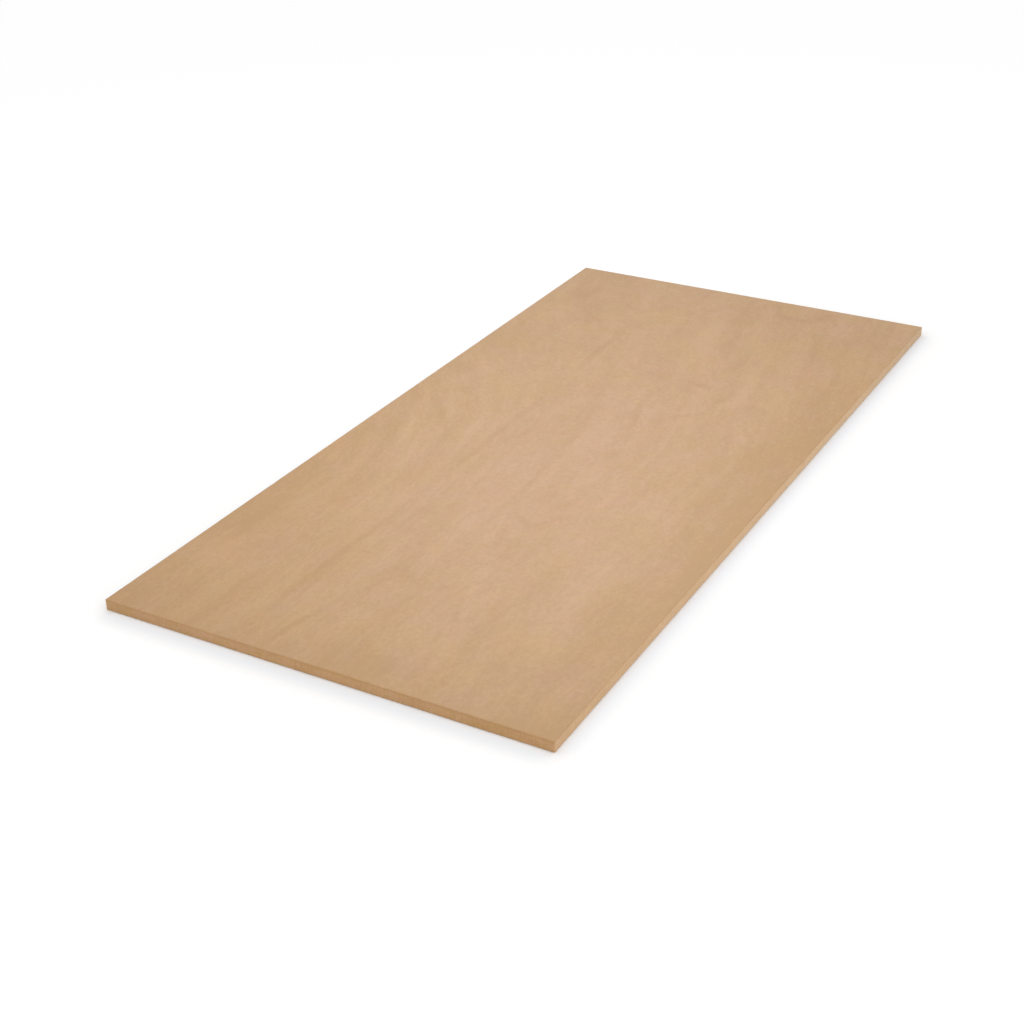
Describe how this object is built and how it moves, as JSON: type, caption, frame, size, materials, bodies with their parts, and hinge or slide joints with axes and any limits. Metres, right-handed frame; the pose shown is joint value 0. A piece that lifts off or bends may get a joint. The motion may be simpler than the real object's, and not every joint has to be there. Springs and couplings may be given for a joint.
{
  "type": "softboard sheet",
  "caption": "Flat rectangular sheet of soft wood fibreboard with square sawn edges, for lining walls and pinning on.",
  "frame": {"origin": "centre of the back face, where the sheet rests on the ground", "axes": "+X along the length, +Y along the width, +Z out of the good face"},
  "size_m": [1.25, 0.6, 0.014],
  "materials": {
    "wood_fibre": "matte"
  },
  "bodies": {
    "root": {"softboard_sheet": "wood_fibre"}
  },
  "joints": []
}
